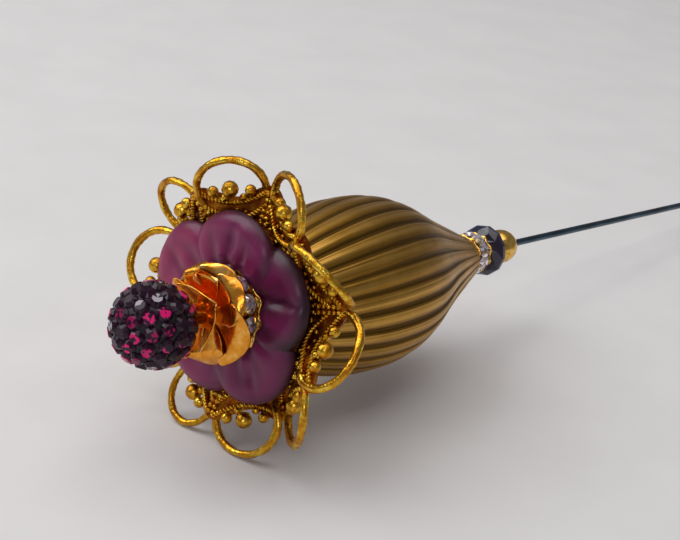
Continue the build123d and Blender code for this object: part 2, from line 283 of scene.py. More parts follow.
def flattened(holder):
    """Plain mesh of an object as its modifiers leave it; the object goes."""
    depsgraph = bpy.context.evaluated_depsgraph_get()
    made = bpy.data.meshes.new_from_object(
        holder.evaluated_get(depsgraph), preserve_all_data_layers=True, depsgraph=depsgraph)
    bpy.data.objects.remove(holder)
    return made


def place(name, mesh, body, node, material=None):
    """A finished piece in place of a CAD node: its mesh moved from stem millimetres to the frame."""
    mesh.transform(STEM)
    mesh.name = name
    if material:
        mesh.materials.clear()
        mesh.materials.append(material)
    piece = bpy.data.objects.new(name, mesh)
    bpy.context.collection.objects.link(piece)
    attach(piece, body)
    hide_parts(node)


# ---- node trees ----
def outlet(source):
    """Where a link starts: a node stands for its first output."""
    return source.outputs[0] if isinstance(source, bpy.types.Node) else source


def add(tree, kind, inputs=None, stops=None, **settings):
    """One node with its settings; an input is a value, an output, or a node for its first output."""
    made = tree.nodes.new(kind)
    for name, value in settings.items():
        setattr(made, name, value)
    for key, value in (inputs or {}).items():
        start = outlet(value)
        if isinstance(start, bpy.types.NodeSocket):
            tree.links.new(start, made.inputs[key])
        else:
            made.inputs[key].default_value = start
    if stops:
        elements = made.color_ramp.elements
        while len(elements) < len(stops):
            elements.new(1.0)
        for element, (position, tone) in zip(elements, stops):
            element.position = position
            element.color = (*tone, 1.0)
    return made


def new_tree(name, sockets):
    """Geometry tree with named inputs; returns it with its input and output nodes."""
    tree = bpy.data.node_groups.new(name, "GeometryNodeTree")
    tree.interface.new_socket("Geometry", in_out="INPUT", socket_type="NodeSocketGeometry")
    for title, kind in sockets:
        tree.interface.new_socket(title, in_out="INPUT", socket_type=f"NodeSocket{kind}")
    tree.interface.new_socket("Geometry", in_out="OUTPUT", socket_type="NodeSocketGeometry")
    return tree, add(tree, "NodeGroupInput").outputs, add(tree, "NodeGroupOutput")


def close_tree(tree, out, geometry, material):
    """Ends a tree in Realize Instances and Set Material."""
    real = add(tree, "GeometryNodeRealizeInstances", {"Geometry": geometry})
    dressed = add(tree, "GeometryNodeSetMaterial", {"Geometry": real, "Material": material})
    tree.links.new(dressed.outputs[0], out.inputs[0])


def seats_tree():
    """A copy of one part on every seat, turned and scaled as the seat says.

    Each seat has a "turn" and a "scale"; "Spin" rolls the copies at random about
    their own z.  Every copy keeps a random "stone" and every face a random "facet".
    """
    tree, given, out = new_tree("Parts on seats", [
        ("Part", "Object"), ("Spin", "Float"), ("Seed", "Int"), ("Material", "Material")])
    turned = add(tree, "GeometryNodeInputNamedAttribute", {"Name": "turn"}, data_type="FLOAT_VECTOR")
    upright = add(tree, "FunctionNodeEulerToRotation", {0: turned})
    spin = add(tree, "FunctionNodeRandomValue", {3: given["Spin"], "Seed": given["Seed"]}, data_type="FLOAT")
    roll = add(tree, "FunctionNodeAxisAngleToRotation", {"Axis": (0, 0, 1), "Angle": spin.outputs[1]})
    seated = add(tree, "FunctionNodeRotateRotation", {0: upright, 1: roll},
                 rotation_space="LOCAL")
    size = add(tree, "GeometryNodeInputNamedAttribute", {"Name": "scale"}, data_type="FLOAT_VECTOR")
    part = add(tree, "GeometryNodeObjectInfo", {"Object": given["Part"]})
    laid = add(tree, "GeometryNodeInstanceOnPoints", {
        "Points": given["Geometry"], "Instance": part.outputs["Geometry"],
        "Rotation": seated, "Scale": size})
    luck = add(tree, "FunctionNodeRandomValue", {"Seed": given["Seed"]}, data_type="FLOAT")
    named = add(tree, "GeometryNodeStoreNamedAttribute", {
        "Geometry": laid, "Name": "stone", "Value": luck.outputs[1]},
        data_type="FLOAT", domain="INSTANCE")
    real = add(tree, "GeometryNodeRealizeInstances", {"Geometry": named})
    marked = add(tree, "GeometryNodeStoreNamedAttribute", {
        "Geometry": real, "Name": "facet", "Value": luck.outputs[1]},
        data_type="FLOAT", domain="FACE")
    close_tree(tree, out, marked, given["Material"])
    return tree


def rope_tree():
    """Twisted rope: slanting grains at an even pitch along every path."""
    tree, given, out = new_tree("Twisted rope", [
        ("Pitch", "Float"), ("Radius", "Float"), ("Slant", "Float"), ("Material", "Material")])
    path = add(tree, "GeometryNodeMeshToCurve", {"Mesh": given["Geometry"]})
    beads = add(tree, "GeometryNodeCurveToPoints", {"Curve": path, "Length": given["Pitch"]},
                mode="LENGTH")
    slant = add(tree, "FunctionNodeAxisAngleToRotation", {"Axis": (0, 1, 0), "Angle": given["Slant"]})
    laid_over = add(tree, "FunctionNodeRotateRotation",
                    {0: beads.outputs["Rotation"], 1: slant}, rotation_space="LOCAL")
    thick = add(tree, "ShaderNodeMath", {0: given["Radius"], 1: 1.25}, operation="MULTIPLY")
    thin = add(tree, "ShaderNodeMath", {0: given["Radius"], 1: 0.62}, operation="MULTIPLY")
    # a grain is long across the rope and thin along it
    strand = add(tree, "ShaderNodeCombineXYZ", {"X": thick, "Y": given["Radius"], "Z": thin})
    ball = add(tree, "GeometryNodeMeshIcoSphere", {"Radius": 1.0, "Subdivisions": 2})
    soft = add(tree, "GeometryNodeSetShadeSmooth", {"Geometry": ball})
    laid = add(tree, "GeometryNodeInstanceOnPoints", {
        "Points": beads, "Instance": soft,
        "Rotation": laid_over, "Scale": strand})
    close_tree(tree, out, laid, given["Material"])
    return tree


def flute_tree():
    """A turned outline whose skin is drawn into twisted flutes.

    The source is the outline as a run of edges in (radius, 0, s), with a "relief" at
    each point that says how deep the grooves run there.
    """
    crest_power, lip_place, lip_sharpness, lip_height = 0.95, 0.2, 14.0, 0.36
    tree, given, out = new_tree("Twisted flutes", [
        ("Flutes", "Int"), ("Depth", "Float"), ("Twist", "Float"), ("Front", "Float"),
        ("Length", "Float"), ("Rows", "Int"), ("Columns", "Int"), ("Material", "Material")])
    sheet = add(tree, "GeometryNodeMeshGrid", {
        "Size X": 1.0, "Size Y": 1.0, "Vertices X": given["Rows"], "Vertices Y": given["Columns"]})
    spot = add(tree, "ShaderNodeSeparateXYZ", {0: add(tree, "GeometryNodeInputPosition")})
    run = add(tree, "ShaderNodeMath", {0: spot.outputs["X"], 1: 0.5}, operation="ADD")
    outline = add(tree, "GeometryNodeMeshToCurve", {"Mesh": given["Geometry"]})
    relief = add(tree, "GeometryNodeInputNamedAttribute", {"Name": "relief"}, data_type="FLOAT")
    sample = add(tree, "GeometryNodeSampleCurve", {
        "Curves": outline, "Factor": run, "Value": relief},
        mode="FACTOR", data_type="FLOAT", use_all_curves=False)
    at = add(tree, "ShaderNodeSeparateXYZ", {0: sample.outputs["Position"]})
    # each sum is a name, an operation and its terms, and a word among the terms is an earlier sum
    sums = {}
    for name, operation, *terms in (
        ("around", "ADD", spot.outputs["Y"], 0.5),
        # place across one flute, 0 at a groove and 1 at the next
        ("flute", "MULTIPLY", "around", given["Flutes"]),
        ("across", "FRACT", "flute"),
        # a ridge that stands between two soft valleys
        ("arch", "MULTIPLY", "across", pi),
        ("hump", "SINE", "arch"),
        ("level", "MAXIMUM", "hump", 0.0),
        ("crest", "POWER", "level", crest_power),
        # a fine second ridge low in the valley
        ("from_lip", "SUBTRACT", "across", lip_place),
        ("narrow", "MULTIPLY", "from_lip", lip_sharpness),
        ("square", "MULTIPLY", "narrow", "narrow"),
        ("fall", "MULTIPLY", "square", -1.0),
        ("lip", "EXPONENT", "fall"),
        ("raised", "MULTIPLY_ADD", "lip", lip_height, "crest"),
        ("below", "SUBTRACT", "raised", 1.0),
        ("deep", "MULTIPLY", "below", given["Depth"]),
        ("radius", "MULTIPLY_ADD", "deep", sample.outputs["Value"], at.outputs["X"]),
        # the flutes turn as they run back
        ("back", "SUBTRACT", at.outputs["Z"], given["Front"]),
        ("part", "DIVIDE", "back", given["Length"]),
        ("full", "MULTIPLY", "around", tau),
        ("angle", "MULTIPLY_ADD", "part", given["Twist"], "full"),
        ("cosine", "COSINE", "angle"),
        ("sine", "SINE", "angle"),
        ("x", "MULTIPLY", "radius", "cosine"),
        ("y", "MULTIPLY", "radius", "sine"),
        # how far the skin lies below the crests, which the finish paints as shade
        ("under", "SUBTRACT", 1.0, "raised"),
        ("low", "MAXIMUM", "under", 0.0),
        ("hollow", "MULTIPLY", "low", sample.outputs["Value"]),
    ):
        inputs = {k: sums[term] if isinstance(term, str) else term for k, term in enumerate(terms)}
        sums[name] = add(tree, "ShaderNodeMath", inputs, operation=operation)
    point = add(tree, "ShaderNodeCombineXYZ", {"X": sums["x"], "Y": sums["y"], "Z": at.outputs["Z"]})
    # the finish's numbers are kept before the sheet is bent
    flat = sheet
    for name in ("hollow", "flute"):
        flat = add(tree, "GeometryNodeStoreNamedAttribute", {
            "Geometry": flat, "Name": name, "Value": sums[name]}, data_type="FLOAT", domain="POINT")
    bent = add(tree, "GeometryNodeSetPosition", {"Geometry": flat, "Position": point})
    closed = add(tree, "GeometryNodeMergeByDistance", {"Geometry": bent, "Distance": 0.0005})
    smoothed = add(tree, "GeometryNodeSetShadeSmooth", {"Geometry": closed})
    close_tree(tree, out, smoothed, given["Material"])
    return tree


def grown(tree, source, **inputs):
    """Plain mesh that a node tree makes of a source mesh."""
    holder = bpy.data.objects.new(tree.name, source)
    bpy.context.collection.objects.link(holder)
    modifier = holder.modifiers.new(tree.name, "NODES")
    modifier.node_group = tree
    for item in tree.interface.items_tree:
        if item.in_out == "INPUT" and item.name in inputs:
            modifier[item.identifier] = inputs[item.name]
    return flattened(holder)


# ---- finishes ----
def new_finish(name, **look):
    """A material and its tree, with its shader's own sockets set."""
    made = bpy.data.materials.new(name)
    made.use_nodes = True
    shader = made.node_tree.nodes["Principled BSDF"]
    for socket, value in look.items():
        shader.inputs[socket.replace("_", " ")].default_value = value
    return made, made.node_tree


def fed(made, **feeds):
    """The material with a node or an output linked to each shader socket that is named."""
    shader = made.node_tree.nodes["Principled BSDF"]
    for socket, source in feeds.items():
        made.node_tree.links.new(outlet(source), shader.inputs[socket.replace("_", " ")])
    return made


def weathered(made, tint, stops, wear, roughness, relief, strength, depth):
    """The material with a pattern each for its colour, its roughness and its relief.

    stops are (place, colour), roughness is where wear is low and where it is high,
    and depth is in millimetres.
    """
    tree, (smooth_at, rough_at) = made.node_tree, roughness
    tone = add(tree, "ShaderNodeValToRGB", {"Fac": tint}, stops=stops)
    rough = add(tree, "ShaderNodeMapRange", {"Value": wear, "To Min": smooth_at, "To Max": rough_at})
    bump = add(tree, "ShaderNodeBump", {"Height": relief, "Strength": strength, "Distance": depth * MM})
    return fed(made, Base_Color=tone, Roughness=rough, Normal=bump)


def stem_space(tree):
    """Node that gives a point's place in stem millimetres."""
    here = add(tree, "ShaderNodeTexCoord")
    return add(tree, "ShaderNodeMapping", {
        "Vector": here.outputs["Object"], "Location": BALL_CENTRE,
        "Rotation": STEM_TURN.to_euler(), "Scale": (MM, MM, MM)}, vector_type="TEXTURE")


def drawn_blued_steel():
    """Drawn steel wire, heat-blued: cold blue-grey with fine draw lines along it."""
    made, tree = new_finish("drawn_blued_steel", Metallic=1.0)
    stretched = add(tree, "ShaderNodeMapping", {"Vector": stem_space(tree), "Scale": (9.0, 9.0, 0.25)})
    lines = add(tree, "ShaderNodeTexNoise", {"Vector": stretched, "Scale": 1.0, "Detail": 4.0})
    patches = add(tree, "ShaderNodeTexNoise", {"Vector": stem_space(tree), "Scale": 0.12, "Detail": 3.0})
    stops = [(0.35, srgb("#27343f")), (0.55, srgb("#3f5666")), (0.72, srgb("#6d7f8a"))]
    return weathered(made, patches, stops, lines, (0.2, 0.42), lines, strength=0.5, depth=0.02)


def cast_black_resin():
    """Cast epoxy clay that holds the stones: near black, satin, faintly grained."""
    made, tree = new_finish("cast_black_resin", Specular_IOR_Level=0.4)
    grain = add(tree, "ShaderNodeTexNoise", {"Vector": stem_space(tree), "Scale": 5.0, "Detail": 3.0})
    stops = [(0.3, srgb("#0a060a")), (0.7, srgb("#1c131b"))]
    return weathered(made, grain, stops, grain, (0.35, 0.6), grain, strength=0.6, depth=0.04)


def foiled_amethyst(pave):
    """Foil-backed lead crystal: near black, with painted pink highlights of the foil inside some stones that
    also glow a little, and painted grey reflections of the room on a few tables.
    """
    made, tree = new_finish(
        "foiled_amethyst_crystal", IOR=1.5, Roughness=0.16, Specular_IOR_Level=0.28, Emission_Strength=0.3)
    facet = add(tree, "ShaderNodeAttribute", attribute_name="facet").outputs["Fac"]
    stone = add(tree, "ShaderNodeAttribute", attribute_name="stone").outputs["Fac"]
    top = add(tree, "ShaderNodeAttribute", attribute_name="table").outputs["Fac"]
    # painted pink highlights: shards about 0.4 mm across, only in the middle of the livelier stones
    shards = add(tree, "ShaderNodeTexVoronoi", {"Vector": stem_space(tree), "Scale": 2.6})
    shard = add(tree, "ShaderNodeSeparateColor", {0: shards.outputs["Color"]})
    lively = add(tree, "ShaderNodeMapRange", {"Value": stone, "From Min": 0.45, "From Max": 0.6})
    bright = add(tree, "ShaderNodeMapRange", {"Value": shard, "From Min": 0.5, "From Max": 0.56})
    inside = add(tree, "ShaderNodeMapRange", {"Value": top, "From Min": 0.72, "From Max": 0.9})
    chosen = add(tree, "ShaderNodeMath", {0: bright, 1: lively}, operation="MULTIPLY")
    flash = add(tree, "ShaderNodeMath", {0: chosen, 1: inside}, operation="MULTIPLY")
    # painted grey reflection of the room on the tables of a few stones
    mirror = add(tree, "ShaderNodeMath", {0: stone, 1: pave.mirrors}, operation="LESS_THAN")
    flat = add(tree, "ShaderNodeMath", {0: top, 1: 0.99}, operation="GREATER_THAN")
    patch = add(tree, "ShaderNodeMath", {0: facet, 1: 0.45}, operation="GREATER_THAN")
    glint = add(tree, "ShaderNodeMath", {0: mirror, 1: flat}, operation="MULTIPLY")
    split = add(tree, "ShaderNodeMath", {0: glint, 1: patch}, operation="MULTIPLY")
    # painted shade and dim light: each facet mixes near black and dim wine by its random number
    shade = add(tree, "ShaderNodeMix", {0: facet, 6: (*pave.dark, 1), 7: (*pave.wine, 1)}, data_type="RGBA")
    body = add(tree, "ShaderNodeMix", {0: flash, 6: shade.outputs[2], 7: (*pave.flash, 1)},
               data_type="RGBA")
    tone = add(tree, "ShaderNodeMix", {0: split, 6: body.outputs[2], 7: (*pave.glint, 1)},
               data_type="RGBA")
    # painted glow: the pink highlights also shine as emission
    glow = add(tree, "ShaderNodeMix", {0: flash, 6: (0, 0, 0, 1), 7: (*pave.flash, 1)},
               data_type="RGBA")
    return fed(made, Base_Color=tone.outputs[2], Emission_Color=glow.outputs[2])


def foiled_clear_crystal():
    """Clear lead crystal in foil: white, lilac, gold and dark facets side by side, painted reflections of the
    room.
    """
    made, tree = new_finish(
        "foiled_clear_crystal", IOR=1.6, Roughness=0.05, Coat_Weight=0.8, Coat_Roughness=0.02)
    facet = add(tree, "ShaderNodeAttribute", attribute_name="facet")
    # painted reflections: each facet takes one colour of the room at random
    tone = add(tree, "ShaderNodeValToRGB", {"Fac": facet.outputs["Fac"]}, stops=[
        (0.0, srgb("#6b5a5c")), (0.25, srgb("#b59fb0")), (0.45, srgb("#e9e2e6")),
        (0.62, srgb("#c9a36a")), (0.75, srgb("#f6f3f4")), (1.0, srgb("#8c7480"))])
    tone.color_ramp.interpolation = "CONSTANT"
    shine = add(tree, "ShaderNodeMapRange", {"Value": facet.outputs["Fac"], "To Min": 0.2, "To Max": 0.9})
    return fed(made, Base_Color=tone, Metallic=shine)


def warm_gold_plate(rose):
    """Stamped brass with bright warm gold plate: mirror-like, its colour wandering at random between a
    painted orange reflection and a painted cream highlight.
    """
    made, tree = new_finish("warm_gold_plate", Metallic=1.0)
    wave = add(tree, "ShaderNodeTexNoise", {"Vector": stem_space(tree), "Scale": 0.9, "Detail": 2.0})
    fine = add(tree, "ShaderNodeTexNoise", {"Vector": stem_space(tree), "Scale": 7.0, "Detail": 3.0})
    # the orange stop is a painted reflection and the cream stop a painted highlight, scattered by noise
    stops = [(0.3, srgb("#d48124")), (0.55, rose.gold), (0.8, srgb("#f3c780"))]
    return weathered(made, wave, stops, fine, (0.14, 0.32), wave, strength=0.35, depth=0.2)


def bright_gold_plate(rondelles):
    """Turned brass with bright gold plate: clear highlights and slight handling wear."""
    made, tree = new_finish("bright_gold_plate", Metallic=1.0)
    wear = add(tree, "ShaderNodeTexNoise", {"Vector": stem_space(tree), "Scale": 1.4, "Detail": 4.0})
    stops = [(0.3, srgb("#a8742c")), (0.5, rondelles.gold), (0.75, srgb("#f3cf80"))]
    return weathered(made, wear, stops, wear, (0.32, 0.12), wear, strength=0.2, depth=0.1)


def frosted_purple_glass(flower):
    """Pressed glass, acid-frosted and a little translucent: painted light on the thick petals and painted
    shade in the creases.
    """
    made, tree = new_finish(
        "frosted_purple_glass", IOR=1.5, Subsurface_Weight=0.2, Subsurface_Radius=(1.0, 0.2, 0.6),
        Subsurface_Scale=0.001, Coat_Weight=0.12, Coat_Roughness=0.2, Specular_IOR_Level=0.35)
    relief = add(tree, "ShaderNodeAttribute", attribute_name="relief")
    spot = stem_space(tree)
    side = add(tree, "ShaderNodeSeparateXYZ", {0: spot})
    far = add(tree, "ShaderNodeMapRange", {"Value": side.outputs["Y"], "From Min": 1.0, "From Max": 10.0})
    cloud = add(tree, "ShaderNodeTexNoise", {"Vector": spot, "Scale": 0.35, "Detail": 3.0})
    pink = add(tree, "ShaderNodeMath", {0: far, 1: cloud}, operation="MULTIPLY")
    body = add(tree, "ShaderNodeMix", {0: pink, 6: (*flower.glass, 1), 7: (*flower.blush, 1)},
               data_type="RGBA")
    # painted light and shade from the petals' relief mark, clouded a little by noise
    painted_shade_and_cloud = add(tree, "ShaderNodeMath", {0: cloud, 1: 0.35, 2: relief.outputs["Fac"]},
               operation="MULTIPLY_ADD")
    lit = add(tree, "ShaderNodeMapRange", {"Value": painted_shade_and_cloud, "From Min": 0.25, "From Max": 0.95})
    tone = add(tree, "ShaderNodeMix", {0: lit, 6: (*flower.crease, 1), 7: body.outputs[2]},
               data_type="RGBA")
    frost = add(tree, "ShaderNodeTexNoise", {"Vector": spot, "Scale": 9.0, "Detail": 4.0})
    rough = add(tree, "ShaderNodeMapRange", {"Value": cloud, "To Min": 0.3, "To Max": 0.48})
    bump = add(tree, "ShaderNodeBump", {"Height": frost, "Strength": 0.3, "Distance": 0.00003})
    return fed(made, Base_Color=tone.outputs[2], Roughness=rough, Normal=bump)


def gilded_filigree(filigree):
    """Stamped brass filigree, gilded: a random mottle of painted gold highlights, gilt, and red-brown that is
    partly tarnish and partly painted reflection of the flower and rose.
    """
    made, tree = new_finish("gilded_filigree", Metallic=1.0)
    spot = stem_space(tree)
    patches = add(tree, "ShaderNodeTexNoise", {"Vector": spot, "Scale": 0.8, "Detail": 4.0, "Roughness": 0.6})
    hollow = add(tree, "ShaderNodeAttribute", attribute_name="hollow")
    # noise plus the dish's random mottle mark choose between painted highlight and red-brown tarnish with
    # painted reflection
    painted_light_and_tarnish = add(tree, "ShaderNodeMath", {0: hollow.outputs["Fac"], 1: 0.5, 2: patches},
               operation="MULTIPLY_ADD")
    hammer = add(tree, "ShaderNodeTexNoise", {"Vector": spot, "Scale": 2.6, "Detail": 2.0})
    # the first stop is a painted highlight and the last partly tarnish, partly painted reflection
    stops = [(0.3, srgb("#f2d050")), (0.5, filigree.gilt), (0.7, srgb("#a8661a")), (0.95, filigree.patina_and_reflection)]
    return weathered(made, painted_light_and_tarnish, stops, painted_light_and_tarnish, (0.16, 0.4), hammer, strength=0.6, depth=0.12)


def brushed_antique_brass(bead):
    """Drawn brass sheet in an antique tone: brushed streaks along the flutes, with painted shade darkening
    the grooves.
    """
    made, tree = new_finish("brushed_antique_brass", Metallic=1.0)
    spot = stem_space(tree)
    hollow = add(tree, "ShaderNodeAttribute", attribute_name="hollow")
    flute = add(tree, "ShaderNodeAttribute", attribute_name="flute")
    run = add(tree, "ShaderNodeSeparateXYZ", {0: spot})
    # streaks that follow the flutes, 0.2 mm wide where the bead is widest and 14 mm long
    streak_space = add(tree, "ShaderNodeCombineXYZ", {"X": flute.outputs["Fac"], "Y": run.outputs["Z"]})
    long_way = add(tree, "ShaderNodeMapping", {"Vector": streak_space, "Scale": (11.0, 0.07, 1.0)})
    streaks = add(tree, "ShaderNodeTexNoise", {
        "Vector": long_way, "Scale": 1.0, "Detail": 5.0, "Roughness": 0.65})
    cloud = add(tree, "ShaderNodeTexNoise", {"Vector": spot, "Scale": 0.22, "Detail": 4.0})
    # brushed streaks plus painted shade where the skin lies deep in a groove
    streaks_and_groove_shade = add(tree, "ShaderNodeMath", {0: streaks, 1: 0.5, 2: hollow.outputs["Fac"]},
                operation="MULTIPLY_ADD")
    wear_and_groove_shade = add(tree, "ShaderNodeMath", {0: cloud, 1: 0.35, 2: streaks_and_groove_shade}, operation="MULTIPLY_ADD")
    stops = [(0.3, srgb("#d6a656")), (0.6, bead.brass), (0.85, srgb("#8e6729")), (1.0, bead.groove)]
    return weathered(made, wear_and_groove_shade, stops, wear_and_groove_shade, (0.28, 0.48), streaks, strength=0.35, depth=0.05)


def cut_dark_glass():
    """Machine-cut glass: near black, with a painted blue sheen on its edges where they turn from the eye."""
    made, tree = new_finish(
        "cut_dark_glass", IOR=1.52, Roughness=0.1, Coat_Weight=0.3, Coat_Roughness=0.05)
    swirl = add(tree, "ShaderNodeTexNoise", {"Vector": stem_space(tree), "Scale": 0.7, "Detail": 3.0})
    edge = add(tree, "ShaderNodeLayerWeight", {"Blend": 0.2})
    deep = add(tree, "ShaderNodeValToRGB", {"Fac": swirl},
               stops=[(0.35, srgb("#120818")), (0.7, srgb("#2a1030"))])
    # painted blue reflection at grazing angles
    blue = (*srgb("#1d4668"), 1)
    tone = add(tree, "ShaderNodeMix", {0: edge.outputs["Facing"], 6: deep, 7: blue}, data_type="RGBA")
    return fed(made, Base_Color=tone.outputs[2])


def pale_table(stage):
    """Matt laminate table top: pale, warm grey, with a barely seen mottle."""
    made, tree = new_finish("pale_table", Roughness=0.65, Specular_IOR_Level=0.3)
    here = add(tree, "ShaderNodeTexCoord").outputs["Object"]
    mottle = add(tree, "ShaderNodeTexNoise", {"Vector": here, "Scale": 60.0, "Detail": 5.0})
    table = Vector(stage.table)
    tone = add(tree, "ShaderNodeValToRGB", {"Fac": mottle},
               stops=[(0.3, tuple(table * 0.97)), (0.7, tuple(table * 1.02))])
    return fed(made, Base_Color=tone)


# ---- cut stones and grains ----
def cut_stone(table, crown, depth):
    """Unit-girdle brilliant: split table, crown facets, short base; z faces out."""
    shape = Shape()
    shape.points = [Vector((0, 0, crown)), Vector((0, 0, -depth))]
    shape.points += [polar(table, 45 * k, crown) for k in range(8)]
    shape.points += [polar(1.0, 22.5 * k, 0.0) for k in range(16)]
    shape.mark("table", [1.0] + [0.0] + [1.0] * 8 + [0.0] * 16)
    for k in range(8):
        top, next_top = 2 + k, 2 + (k + 1) % 8
        left, middle, right = (10 + (2 * k + step) % 16 for step in (-1, 0, 1))
        shape.faces += [
            (0, top, next_top), (top, left, middle), (top, middle, right), (top, right, next_top),
            (1, middle, left), (1, right, middle),
        ]
    return shape.mesh("cut_stone", sharp=0)


def grain_module():
    """Unit ball of 80 faces for solder grains."""
    made = bpy.data.meshes.new("grain")
    work = bmesh.new()
    bmesh.ops.create_icosphere(work, subdivisions=2, radius=1.0)
    for face in work.faces:
        face.smooth = True
    work.to_mesh(made)
    work.free()
    return made


def facing(point, out, size):
    """Seat whose part faces outwards."""
    return point, Vector(out.to_track_quat("Z", "X").to_euler()), Vector((size, size, size))


def set_on_seats(seats, module, material, spin=tau, seed=1):
    """Copies of a module mesh on seats of (point, turn, scale)."""
    shape = Shape()
    shape.points = [seat[0] for seat in seats]
    shape.mark("turn", [seat[1] for seat in seats])
    shape.mark("scale", [seat[2] for seat in seats])
    part = bpy.data.objects.new("module", module)
    bpy.context.collection.objects.link(part)
    made = grown(seats_tree(), shape.mesh("seats"), Part=part, Spin=spin, Seed=seed, Material=material)
    bpy.data.objects.remove(part)
    return made


def radial_seats(s, r, stones, size):
    """Seats round the stem that face straight out."""
    angles = [360 * k / stones for k in range(stones)]
    return [facing(polar(r, angle, s), polar(1, angle, 0), size) for angle in angles]


# ---- the pieces ----
class HATPIN_OT_stem(Operator):
    """Finish the pieces kept from CAD: stem, resin core, crimp tube, end bead and rose collar"""
    bl_idname = "hatpin.stem"
    bl_label = "Stem and core"

    def execute(self, context):
        props = context.scene
        steel, resin = drawn_blued_steel(), cast_black_resin()
        gold = bright_gold_plate(props.hatpin_rondelles)
        warm = warm_gold_plate(props.hatpin_rose)
        for node, finish in (("pin_stem", steel), ("pave_core", resin), ("crimp_tube", gold),
                             ("end_bead", gold), ("rose_collar", warm)):
            for material_slot in frame["nodes"][node].material_slots:
                material_slot.material = finish
        return {"FINISHED"}


class HATPIN_OT_pave_ball(Operator):
    """Set the ball with rows of foiled stones, from the pole to the stem hole"""
    bl_idname = "hatpin.pave_ball"
    bl_label = "Pave ball"

    def execute(self, context):
        pave = context.scene.hatpin_pave
        ball_r = span("pave_crystals")[2]
        core_r = span("pave_core")[2]
        stone_r = pave.stone / MM
        crown = (ball_r - core_r) / stone_r
        rows, overlap = round(pi / pave.row_angle), 0.97
        seats = [facing(Vector((0, 0, -core_r)), Vector((0, 0, -1)), stone_r)]
        for row in range(1, rows):
            lean = row * pave.row_angle
            stones = int(tau * ball_r * sin(lean) / (2 * stone_r * overlap))
            for k in range(stones):
                angle = (k + row % 2 / 2 + 0.07 * sin(5 * row + k)) * 360 / stones
                out = polar(sin(lean), angle, -cos(lean))
                seats.append(facing(out * core_r, out, stone_r * (0.97 + 0.03 * sin(7 * k + row))))
        stone = cut_stone(pave.table, crown=crown * 0.8, depth=0.3)
        mesh = set_on_seats(seats, stone, foiled_amethyst(pave))
        place("pave_stones", mesh, "head_and_stem", "pave_crystals")
        return {"FINISHED"}


# angle of each petal, fold, tip radius, half width
ROSE_OUTER = (
    (-82, 8, 7.0, 3.9), (-132, -8, 6.9, 3.1), (-160, 6, 6.8, 2.9), (172, 4, 6.0, 2.6), (138, -12, 5.4, 2.2),
    (-24, -6, 6.0, 2.9), (40, 8, 6.2, 3.3), (92, -6, 6.0, 2.8),
)
ROSE_INNER = ((178, 3, 3.5, 3.3), (-84, -3, 3.7, 3.1), (52, 3, 3.5, 3.1))


def rose_petal(shape, angle, fold, tip_r, half_width, base_s, tip_s, cup, roll):
    """One sheet petal: narrow at the collar, cupped across, its rim rolled back."""
    rows, columns = 14, 15
    root_r = 1.3
    middle = radians(angle)
    out, side = Vector((cos(middle), sin(middle), 0)), Vector((-sin(middle), cos(middle), 0))

    def skin(row, column):
        v, u = row / (rows - 1), 2 * column / (columns - 1) - 1
        flare = 0.22 + 0.78 * sin(pi * (0.06 + 0.62 * v)) ** 0.8
        width = half_width * flare * (1 - 0.15 * smooth(0.8, 1, v))
        reach = root_r + (tip_r - root_r) * v * (1 - 0.20 * u * u * v)
        rise = base_s + (tip_s - base_s) * v ** 1.3
        rise -= cup * abs(u) ** 2.2 * v * (1 - 0.5 * v)
        rise += roll * smooth(0.62, 1.1, v) ** 1.5 + 0.22 * sin(2.6 * u + fold) * v * v
        rise += radians(fold) * u * width * v
        return out * reach + side * (u * width) + Vector((0, 0, rise))

    shape.lattice(rows, columns, skin)


class HATPIN_OT_rose(Operator):
    """Shape the two whorls of the sheet-gold rose"""
    bl_idname = "hatpin.rose"
    bl_label = "Gold rose"

    def execute(self, context):
        rose = context.scene.hatpin_rose
        finish = warm_gold_plate(rose)
        # node, petals, cup across a petal, roll of its rim
        whorls = (("rose_outer_petals", ROSE_OUTER, 0.8, 1.9), ("rose_inner_petals", ROSE_INNER, 0.2, 0.0))
        for node, petals, cup, roll in whorls:
            front, back, _ = span(node)
            shape = Shape()
            for number, (angle, fold, tip_r, half_width) in enumerate(petals):
                base_s = back - 0.3 - 0.35 * (number % 2)
                rose_petal(shape, angle, fold, tip_r, half_width, base_s, front - 0.2, cup, roll)
            mesh = baked(
                shape.mesh(node),
                ("SOLIDIFY", {"thickness": rose.sheet / MM, "offset": 0.0}),
                ("SUBSURF", {"levels": 1, "render_levels": 1}),
            )
            place(node + "_sheet", mesh, "head_and_stem", node, finish)
        return {"FINISHED"}


def scalloped_frame(node, core_r, stones, plate, wave, hole_r):
    """Rondelle frame: two thin plates with a bay for every stone, on one core."""
    front, back, rim_r = span(node)
    lip = plate * 0.35
    outline = [
        (hole_r, front + lip), (hole_r + lip, front), (rim_r - lip, front), (rim_r, front + lip),
        (rim_r, front + plate - lip), (rim_r - lip, front + plate), (core_r, front + plate),
        (core_r, back - plate), (rim_r - lip, back - plate), (rim_r, back - plate + lip),
        (rim_r, back - lip), (rim_r - lip, back), (hole_r + lip, back), (hole_r, back - lip),
    ]

    around = stones * 12

    def skin(row, column):
        r, s = outline[row]
        bay = 0.5 + 0.5 * cos(tau * stones * (column / around))
        return polar(r + (bay - 1) * wave * smooth(core_r, rim_r, r), 360 * column / around, s)

    shape = Shape().lattice(len(outline), around, skin, wrap_rows=True, wrap_columns=True)
    return shape.mesh(node, sharp=radians(50))


